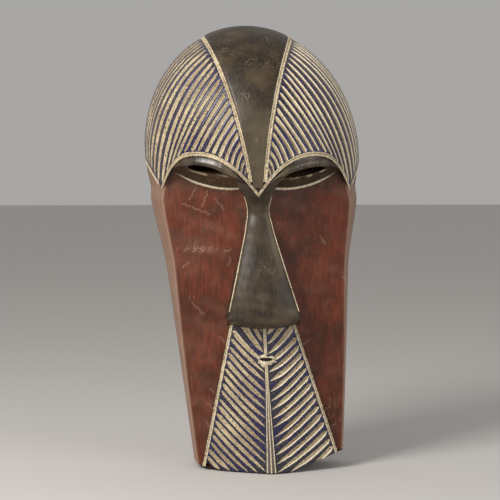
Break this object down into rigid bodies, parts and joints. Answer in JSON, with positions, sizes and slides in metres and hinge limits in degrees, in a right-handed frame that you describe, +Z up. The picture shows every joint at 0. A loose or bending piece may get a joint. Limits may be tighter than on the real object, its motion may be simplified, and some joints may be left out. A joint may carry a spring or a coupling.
{
  "type": "carved wooden mask",
  "caption": "Hollow carved wooden face mask with a domed forehead, raised crest, slit eyes, long nose and chin panel; cut lines filled with white clay.",
  "frame": {"origin": "centre of the bounding box seen from above, at the level of the foot under the chin", "axes": "+Z up towards the top of the head, the face looks along -Y, +X to the viewer's right"},
  "size_m": [0.1864, 0.1086, 0.3836],
  "materials": {
    "carved_wood": "hand cut and stained: polished dark brown on the crest, brow and nose, blue-black between the lines, red-brown on the cheeks",
    "white_clay": "matt, chalky white clay rubbed into the cut lines"
  },
  "bodies": {
    "root": {"wood_shell": "carved_wood", "forehead_lines_left": "white_clay", "forehead_lines_right": "white_clay", "crest_border_left": "white_clay", "crest_border_right": "white_clay", "brow_border_left": "white_clay", "brow_border_right": "white_clay", "temple_line_left": "white_clay", "temple_line_right": "white_clay", "lower_lid_line_left": "white_clay", "lower_lid_line_right": "white_clay", "nose_outline_left": "white_clay", "nose_outline_right": "white_clay", "chin_border_left": "white_clay", "chin_border_right": "white_clay", "chin_lines_left": "white_clay", "chin_lines_right": "white_clay", "chin_centre_line": "white_clay", "mouth_surround": "white_clay"}
  },
  "joints": []
}
